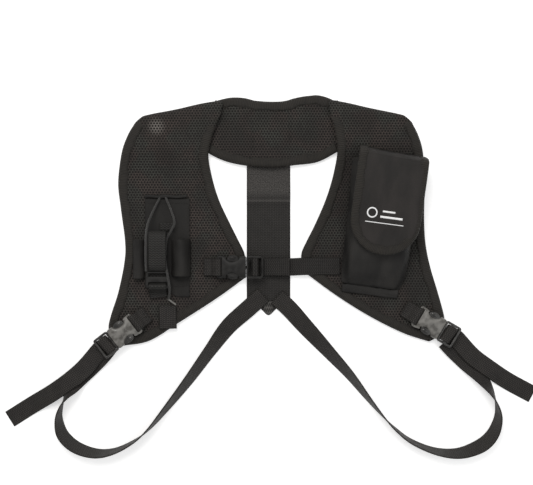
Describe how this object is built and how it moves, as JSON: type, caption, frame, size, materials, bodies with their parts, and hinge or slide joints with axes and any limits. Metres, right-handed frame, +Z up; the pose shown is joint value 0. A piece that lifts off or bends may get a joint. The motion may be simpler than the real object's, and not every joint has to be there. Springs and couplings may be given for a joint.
{
  "type": "radio chest harness",
  "caption": "Padded mesh chest harness laid flat, with a flapped radio pouch, an open radio holder, a back strap and adjustable side straps on side-release buckles.",
  "frame": {"origin": "bottom centre of the harness laid flat, on the surface that it lies on", "axes": "+X to the viewer's right across the chest, +Y towards the collar, +Z up off the surface, out of the chest side"},
  "size_m": [0.6114, 0.4131, 0.0415],
  "materials": {
    "air_mesh": "black spacer mesh, matt",
    "binding_tape": "black folded edge tape, slight sheen",
    "webbing": "black woven webbing, satin",
    "pouch_nylon": "black coated nylon, matt",
    "buckle_plastic": "black acetal, satin",
    "hook_and_loop": "black hook and loop",
    "bungee_sleeve": "braided elastic cord",
    "mark_print": "white print"
  },
  "bodies": {
    "back": {"yoke_pad": "air_mesh", "yoke_neck_binding": "binding_tape", "yoke_lower_binding": "binding_tape", "back_strap": "webbing", "shoulder_wing_left": "air_mesh", "shoulder_wing_right": "air_mesh", "shoulder_fold_left": "air_mesh", "shoulder_fold_right": "air_mesh", "side_strap_left": "webbing", "side_strap_right": "webbing"},
    "front": {"panel_left": "air_mesh", "panel_left_outer_binding": "binding_tape", "panel_left_inner_binding": "binding_tape", "panel_left_bottom_binding": "binding_tape", "panel_right": "air_mesh", "panel_right_outer_binding": "binding_tape", "panel_right_inner_binding": "binding_tape", "panel_right_bottom_binding": "binding_tape", "pouch_body": "pouch_nylon", "pouch_loop_patch": "hook_and_loop", "pouch_bottom_seam": "binding_tape", "holder_patch": "pouch_nylon", "holder_hem": "pouch_nylon", "holder_side_left": "pouch_nylon", "holder_side_right": "pouch_nylon", "holder_strap": "webbing", "holder_lock": "buckle_plastic", "holder_tail": "webbing", "holder_bungee": "bungee_sleeve", "bungee_end": "bungee_sleeve", "chest_female": "buckle_plastic", "chest_stub": "webbing", "chest_strap": "webbing", "left_female": "buckle_plastic", "left_stub": "webbing", "right_female": "buckle_plastic", "right_stub": "webbing", "side_strap_end_left": "webbing", "side_strap_end_right": "webbing"},
    "flap": {"flap": "pouch_nylon", "flap_binding": "binding_tape", "flap_hook_patch": "hook_and_loop", "flap_mark": "mark_print"},
    "chest_male_half": {"chest_male": "buckle_plastic", "chest_tail": "webbing"},
    "chest_upper_arm": {"chest_arm_upper": "buckle_plastic"},
    "chest_lower_arm": {"chest_arm_lower": "buckle_plastic"},
    "left_male_half": {"left_male": "buckle_plastic", "left_tail": "webbing"},
    "left_upper_arm": {"left_arm_upper": "buckle_plastic"},
    "left_lower_arm": {"left_arm_lower": "buckle_plastic"},
    "right_male_half": {"right_male": "buckle_plastic", "right_tail": "webbing"},
    "right_upper_arm": {"right_arm_upper": "buckle_plastic"},
    "right_lower_arm": {"right_arm_lower": "buckle_plastic"}
  },
  "joints": [
    {"name": "front_lift", "type": "hinge", "parent": "back", "child": "front", "pos_m": [0, 0.1838, 0.0126], "axis": [-1, 0, 0], "range_deg": [0, 50], "deforming": ["side_strap_left", "side_strap_right"]},
    {"name": "flap_open", "type": "hinge", "parent": "front", "child": "flap", "pos_m": [0.136, 0.1435, 0.0144], "axis": [-0.9914, 0.1305, 0], "range_deg": [0, 90]},
    {"name": "chest_release", "type": "slide", "parent": "front", "child": "chest_male_half", "axis": [1, 0, 0], "range_m": [0, 0.022], "deforming": ["chest_strap", "chest_arm_upper", "chest_arm_lower"]},
    {"name": "chest_squeeze_upper", "type": "hinge", "parent": "chest_male_half", "child": "chest_upper_arm", "pos_m": [-0.0294, 0.0176, 0.0122], "axis": [0, 0, 1], "range_deg": [0, 12], "stiffness_Nm_per_rad": 0.1},
    {"name": "chest_squeeze_lower", "type": "hinge", "parent": "chest_male_half", "child": "chest_lower_arm", "pos_m": [-0.0294, 0.0032, 0.0122], "axis": [0, 0, -1], "range_deg": [0, 12], "stiffness_Nm_per_rad": 0.1},
    {"name": "left_release", "type": "slide", "parent": "front", "child": "left_male_half", "axis": [-0.7944, -0.6074, 0], "range_m": [0, 0.022], "deforming": ["side_strap_end_left", "left_arm_upper", "left_arm_lower"]},
    {"name": "left_squeeze_upper", "type": "hinge", "parent": "left_male_half", "child": "left_upper_arm", "pos_m": [-0.17622, -0.07793, 0.0122], "axis": [0, 0, 1], "range_deg": [0, 12], "stiffness_Nm_per_rad": 0.1},
    {"name": "left_squeeze_lower", "type": "hinge", "parent": "left_male_half", "child": "left_lower_arm", "pos_m": [-0.18497, -0.06649, 0.0122], "axis": [0, 0, -1], "range_deg": [0, 12], "stiffness_Nm_per_rad": 0.1},
    {"name": "right_release", "type": "slide", "parent": "front", "child": "right_male_half", "axis": [0.8625, -0.506, 0], "range_m": [0, 0.022], "deforming": ["side_strap_end_right", "right_arm_upper", "right_arm_lower"]},
    {"name": "right_squeeze_upper", "type": "hinge", "parent": "right_male_half", "child": "right_upper_arm", "pos_m": [0.19662, -0.05469, 0.0122], "axis": [0, 0, 1], "range_deg": [0, 12], "stiffness_Nm_per_rad": 0.1},
    {"name": "right_squeeze_lower", "type": "hinge", "parent": "right_male_half", "child": "right_lower_arm", "pos_m": [0.18934, -0.06711, 0.0122], "axis": [0, 0, -1], "range_deg": [0, 12], "stiffness_Nm_per_rad": 0.1}
  ],
  "couplings": [
    {"joint": "chest_squeeze_lower", "follows": "chest_squeeze_upper", "ratio": 1},
    {"joint": "left_squeeze_lower", "follows": "left_squeeze_upper", "ratio": 1},
    {"joint": "right_squeeze_lower", "follows": "right_squeeze_upper", "ratio": 1}
  ]
}
